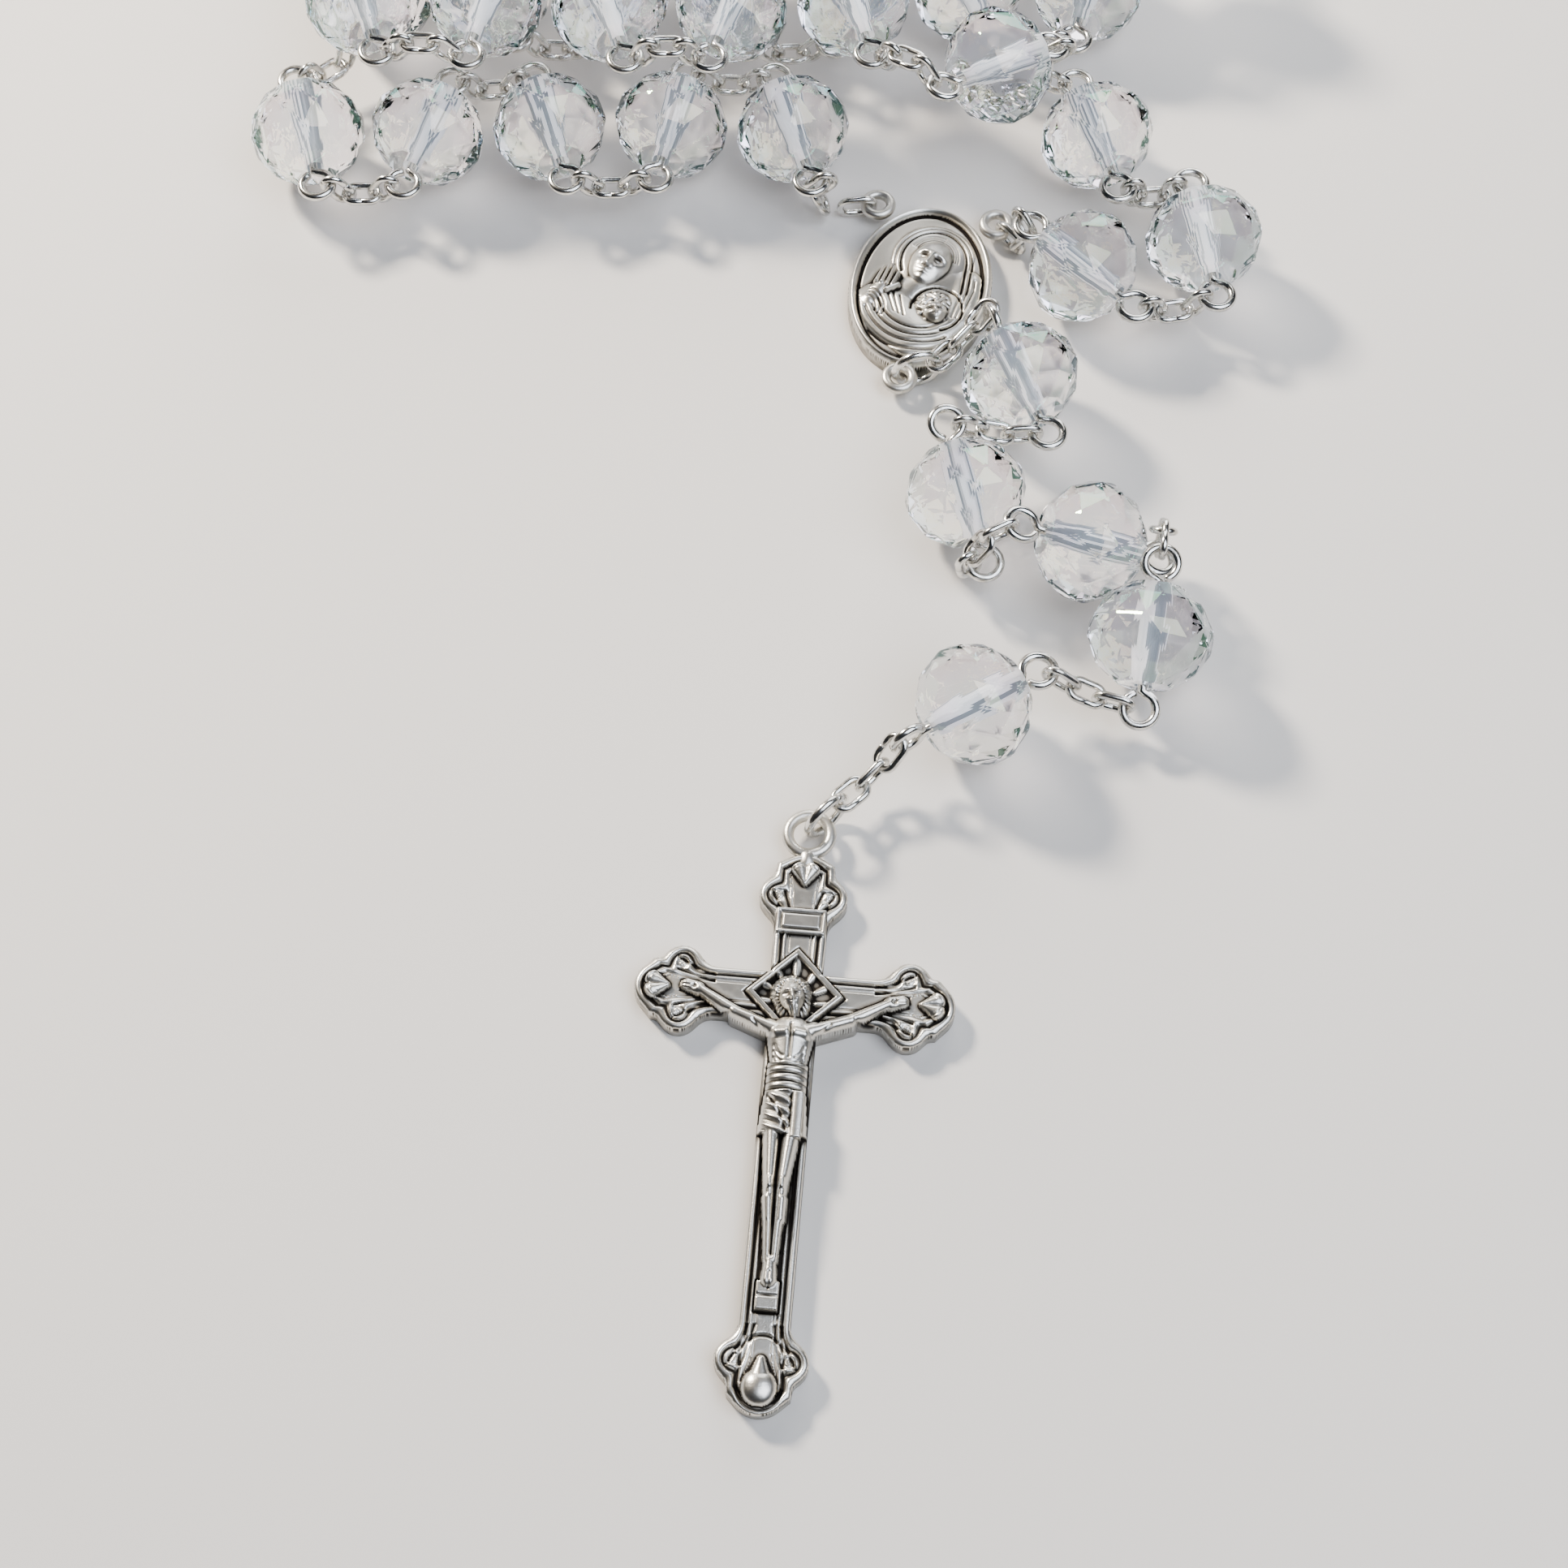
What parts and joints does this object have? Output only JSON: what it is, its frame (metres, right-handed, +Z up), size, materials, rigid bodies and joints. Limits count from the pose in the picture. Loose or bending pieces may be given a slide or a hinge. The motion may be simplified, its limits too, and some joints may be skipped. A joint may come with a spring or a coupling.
{
  "type": "rosary",
  "caption": "Rosary of faceted glass beads on wire eye pins and oval chain, with an oval centrepiece and a hanging crucifix, lying heaped on a table.",
  "frame": {"origin": "centre of the centrepiece's back face, on the table", "axes": "+Z up from the table, -Y towards the foot of the crucifix, +X to the right seen from the crucifix's foot"},
  "size_m": [0.0698, 0.1413, 0.0136],
  "materials": {
    "glass": "faceted and polished, clear with a faint rainbow coat",
    "silver_wire": "bright silver plated wire",
    "cast_silver": "cast, rubbed bright on the high parts and dark in the grooves"
  },
  "bodies": {
    "centrepiece": {"centrepiece": "cast_silver"},
    "drop_ring": {"drop_ring": "silver_wire"},
    "drop_link_1": {"drop_link_1": "silver_wire"},
    "drop_link_2": {"drop_link_2": "silver_wire"},
    "drop_link_3": {"drop_link_3": "silver_wire"},
    "drop_pin_5": {"drop_pin_5": "silver_wire"},
    "drop_bead_5": {"drop_bead_5": "glass"},
    "drop_link_4": {"drop_link_4": "silver_wire"},
    "drop_link_5": {"drop_link_5": "silver_wire"},
    "drop_link_6": {"drop_link_6": "silver_wire"},
    "drop_pin_4": {"drop_pin_4": "silver_wire"},
    "drop_bead_4": {"drop_bead_4": "glass"},
    "drop_link_7": {"drop_link_7": "silver_wire"},
    "drop_link_8": {"drop_link_8": "silver_wire"},
    "drop_link_9": {"drop_link_9": "silver_wire"},
    "drop_pin_3": {"drop_pin_3": "silver_wire"},
    "drop_bead_3": {"drop_bead_3": "glass"},
    "drop_link_10": {"drop_link_10": "silver_wire"},
    "drop_link_11": {"drop_link_11": "silver_wire"},
    "drop_link_12": {"drop_link_12": "silver_wire"},
    "drop_pin_2": {"drop_pin_2": "silver_wire"},
    "drop_bead_2": {"drop_bead_2": "glass"},
    "drop_link_13": {"drop_link_13": "silver_wire"},
    "drop_link_14": {"drop_link_14": "silver_wire"},
    "drop_link_15": {"drop_link_15": "silver_wire"},
    "drop_pin_1": {"drop_pin_1": "silver_wire"},
    "drop_bead_1": {"drop_bead_1": "glass"},
    "drop_link_16": {"drop_link_16": "silver_wire"},
    "drop_link_17": {"drop_link_17": "silver_wire"},
    "drop_link_18": {"drop_link_18": "silver_wire"},
    "crucifix_ring": {"crucifix_ring": "silver_wire"},
    "crucifix": {"crucifix": "cast_silver"},
    "right_link": {"right_link": "silver_wire"},
    "right_strand_1": {"right_beads_1": "glass", "right_chain_1": "silver_wire"},
    "right_strand_2": {"right_beads_2": "glass", "right_chain_2": "silver_wire"},
    "right_strand_3": {"right_beads_3": "glass", "right_chain_3": "silver_wire", "father_bead_1": "glass"},
    "right_strand_4": {"right_beads_4": "glass", "right_chain_4": "silver_wire", "father_bead_2": "glass"},
    "right_strand_5": {"right_beads_5": "glass", "right_chain_5": "silver_wire"},
    "left_strand_4": {"left_beads_4": "glass", "left_chain_4": "silver_wire", "father_bead_3": "glass"},
    "left_strand_3": {"left_beads_3": "glass", "left_chain_3": "silver_wire"},
    "left_strand_2": {"left_beads_2": "glass", "left_chain_2": "silver_wire", "father_bead_4": "glass"},
    "left_strand_1": {"left_beads_1": "glass", "left_chain_1": "silver_wire"},
    "left_link": {"left_link": "silver_wire"}
  },
  "joints": [
    {"name": "drop_ring_lift", "type": "hinge", "parent": "centrepiece", "child": "drop_ring", "pos_m": [-0.00072, -0.00734, 0.0011], "axis": [0.2079, -0.9781, 0], "range_deg": [-9, 0]},
    {"name": "drop_link_1_swing", "type": "hinge", "parent": "drop_ring", "child": "drop_link_1", "pos_m": [0.00098, -0.00698, 0.00235], "axis": [-0.3345, -0.0711, 0.9397], "range_deg": [-40, 19]},
    {"name": "drop_link_2_lift", "type": "hinge", "parent": "drop_link_1", "child": "drop_link_2", "pos_m": [0.00227, -0.00582, 0.00256], "axis": [0.6691, -0.7431, 0], "range_deg": [-40, 40]},
    {"name": "drop_link_3_swing", "type": "hinge", "parent": "drop_link_2", "child": "drop_link_3", "pos_m": [0.00357, -0.00465, 0.00321], "axis": [0.2589, 0.2331, -0.9374], "range_deg": [-29, 19]},
    {"name": "drop_pin_5_lift", "type": "hinge", "parent": "drop_link_3", "child": "drop_pin_5", "pos_m": [0.00473, -0.0036, 0.00423], "axis": [-0.6691, 0.7431, 0], "range_deg": [-29, 0]},
    {"name": "drop_bead_5_spin", "type": "hinge", "parent": "drop_pin_5", "child": "drop_bead_5", "pos_m": [0.00626, -0.00947, 0.004], "axis": [0.342, -0.9397, 0], "continuous": true},
    {"name": "drop_link_4_lift", "type": "hinge", "parent": "drop_pin_5", "child": "drop_link_4", "pos_m": [0.00683, -0.01397, 0.004], "axis": [-0.0349, 0.9994, 0], "range_deg": [-40, 40]},
    {"name": "drop_link_5_swing", "type": "hinge", "parent": "drop_link_4", "child": "drop_link_5", "pos_m": [0.00503, -0.01403, 0.00392], "axis": [-0.0429, -0.0015, 0.9991], "range_deg": [-19, 40]},
    {"name": "drop_link_6_lift", "type": "hinge", "parent": "drop_link_5", "child": "drop_link_6", "pos_m": [0.00327, -0.01409, 0.00464], "axis": [0.0349, -0.9994, 0], "range_deg": [-40, 40]},
    {"name": "drop_pin_4_swing", "type": "hinge", "parent": "drop_link_6", "child": "drop_pin_4", "pos_m": [0.00177, -0.01414, 0.00574], "axis": [-0.5899, -0.0206, -0.8072], "range_deg": [0, 40]},
    {"name": "drop_bead_4_spin", "type": "hinge", "parent": "drop_pin_4", "child": "drop_bead_4", "pos_m": [0.00237, -0.01853, 0.004], "axis": [0.2462, -0.9187, -0.309], "continuous": true},
    {"name": "drop_link_7_lift", "type": "hinge", "parent": "drop_pin_4", "child": "drop_link_7", "pos_m": [0.00259, -0.02334, 0.00247], "axis": [0.4226, -0.9063, 0], "range_deg": [-9, 40]},
    {"name": "drop_link_8_swing", "type": "hinge", "parent": "drop_link_7", "child": "drop_link_8", "pos_m": [0.0023, -0.02347, 0.00426], "axis": [0.8928, 0.4163, 0.172], "range_deg": [0, 33]},
    {"name": "drop_link_9_lift", "type": "hinge", "parent": "drop_link_8", "child": "drop_link_9", "pos_m": [0.00371, -0.02281, 0.00563], "axis": [-0.4226, 0.9063, 0], "range_deg": [-40, 0]},
    {"name": "drop_pin_3_swing", "type": "hinge", "parent": "drop_link_9", "child": "drop_pin_3", "pos_m": [0.00539, -0.02203, 0.00581], "axis": [0.0856, 0.0399, -0.9955], "range_deg": [0, 37]},
    {"name": "drop_bead_3_spin", "type": "hinge", "parent": "drop_pin_3", "child": "drop_bead_3", "pos_m": [0.01027, -0.02224, 0.004], "axis": [0.9474, -0.0829, -0.309], "continuous": true},
    {"name": "drop_link_10_lift", "type": "hinge", "parent": "drop_pin_3", "child": "drop_link_10", "pos_m": [0.01492, -0.0216, 0.00251], "axis": [-0.9903, 0.1392, 0], "range_deg": [-9, 9]},
    {"name": "drop_link_11_swing", "type": "hinge", "parent": "drop_link_10", "child": "drop_link_11", "pos_m": [0.015, -0.021, 0.00422], "axis": [-0.1311, -0.9328, 0.3357], "range_deg": [0, 9]},
    {"name": "drop_link_12_lift", "type": "hinge", "parent": "drop_link_11", "child": "drop_link_12", "pos_m": [0.01479, -0.02249, 0.00571], "axis": [0.9903, -0.1392, 0], "range_deg": [-40, 9]},
    {"name": "drop_pin_2_swing", "type": "hinge", "parent": "drop_link_12", "child": "drop_pin_2", "pos_m": [0.01453, -0.02432, 0.00583], "axis": [-0.0086, -0.0611, -0.9981], "range_deg": [-40, 0]},
    {"name": "drop_bead_2_spin", "type": "hinge", "parent": "drop_pin_2", "child": "drop_bead_2", "pos_m": [0.01369, -0.02918, 0.004], "axis": [-0.1651, -0.9366, -0.309], "continuous": true},
    {"name": "drop_link_13_lift", "type": "hinge", "parent": "drop_pin_2", "child": "drop_link_13", "pos_m": [0.0119, -0.03332, 0.00257], "axis": [0.2924, 0.9563, 0], "range_deg": [-40, 40]},
    {"name": "drop_link_14_swing", "type": "hinge", "parent": "drop_link_13", "child": "drop_link_14", "pos_m": [0.01017, -0.03279, 0.00253], "axis": [-0.0246, 0.0075, 0.9997], "range_deg": [-40, 40]},
    {"name": "drop_link_15_lift", "type": "hinge", "parent": "drop_link_14", "child": "drop_link_15", "pos_m": [0.0085, -0.03228, 0.00325], "axis": [-0.2924, -0.9563, 0], "range_deg": [-40, 40]},
    {"name": "drop_pin_1_swing", "type": "hinge", "parent": "drop_link_15", "child": "drop_pin_1", "pos_m": [0.00706, -0.03184, 0.00435], "axis": [-0.5622, 0.1719, -0.809], "range_deg": [-40, 40]},
    {"name": "drop_bead_1_spin", "type": "hinge", "parent": "drop_pin_1", "child": "drop_bead_1", "pos_m": [0.0024, -0.03405, 0.004], "axis": [-0.866, -0.5, 0], "continuous": true},
    {"name": "drop_link_16_swing", "type": "hinge", "parent": "drop_pin_1", "child": "drop_link_16", "pos_m": [-0.00262, -0.03695, 0.004], "axis": [0, 0, 1], "range_deg": [-40, 40]},
    {"name": "drop_link_17_lift", "type": "hinge", "parent": "drop_link_16", "child": "drop_link_17", "pos_m": [-0.00348, -0.03772, 0.00261], "axis": [-0.6691, 0.7431, 0], "range_deg": [-40, 40]},
    {"name": "drop_link_18_swing", "type": "hinge", "parent": "drop_link_17", "child": "drop_link_18", "pos_m": [-0.00477, -0.03888, 0.00194], "axis": [0.268, 0.2413, -0.9327], "range_deg": [-40, 40]},
    {"name": "crucifix_ring_lift", "type": "hinge", "parent": "drop_link_18", "child": "crucifix_ring", "pos_m": [-0.00618, -0.04014, 0.00215], "axis": [0.6691, -0.7431, 0], "range_deg": [-40, 40]},
    {"name": "crucifix_swing", "type": "hinge", "parent": "crucifix_ring", "child": "crucifix", "pos_m": [-0.00685, -0.04075, 0.0011], "axis": [-0.6691, 0.7431, 0], "range_deg": [-60, 49]},
    {"name": "right_link_lift", "type": "hinge", "parent": "centrepiece", "child": "right_link", "pos_m": [0.00604, 0.0047, 0.0011], "axis": [0.7547, 0.6561, 0], "range_deg": [-10, 30]},
    {"name": "right_strand_1_swing", "type": "hinge", "parent": "right_link", "child": "right_strand_1", "pos_m": [0.00719, 0.00338, 0.0009], "axis": [0.0742, -0.0853, 0.9936], "range_deg": [-20, 20]},
    {"name": "right_strand_2_fold", "type": "hinge", "parent": "right_strand_1", "child": "right_strand_2", "pos_m": [0.00055, 0.01059, 0.01007], "axis": [1, 0, 0], "range_deg": [0, 9]},
    {"name": "right_strand_3_fold", "type": "hinge", "parent": "right_strand_2", "child": "right_strand_3", "pos_m": [-0.03901, 0.02322, 0.0096], "axis": [1, 0, 0], "range_deg": [0, 19]},
    {"name": "right_strand_4_fold", "type": "hinge", "parent": "right_strand_3", "child": "right_strand_4", "pos_m": [0.01719, 0.03512, 0.0096], "axis": [1, 0, 0], "range_deg": [0, 19]},
    {"name": "right_strand_5_fold", "type": "hinge", "parent": "right_strand_4", "child": "right_strand_5", "pos_m": [-0.03896, 0.0483, 0.0096], "axis": [1, 0, 0], "range_deg": [0, 19]},
    {"name": "left_strand_4_fold", "type": "hinge", "parent": "right_strand_5", "child": "left_strand_4", "pos_m": [0.01549, 0.05893, 0.004], "axis": [1, 0, 0], "range_deg": [0, 29]},
    {"name": "left_strand_3_fold", "type": "hinge", "parent": "left_strand_4", "child": "left_strand_3", "pos_m": [-0.04042, 0.04376, 0.004], "axis": [1, 0, 0], "range_deg": [0, 19]},
    {"name": "left_strand_2_fold", "type": "hinge", "parent": "left_strand_3", "child": "left_strand_2", "pos_m": [0.01018, 0.03109, 0.004], "axis": [1, 0, 0], "range_deg": [0, 19]},
    {"name": "left_strand_1_fold", "type": "hinge", "parent": "left_strand_2", "child": "left_strand_1", "pos_m": [-0.04047, 0.01877, 0.004], "axis": [1, 0, 0], "range_deg": [0, 19]},
    {"name": "left_link_lift", "type": "hinge", "parent": "centrepiece", "child": "left_link", "pos_m": [-0.00369, 0.00708, 0.0011], "axis": [-0.059, 0.9983, 0], "range_deg": [-40, 40]}
  ]
}
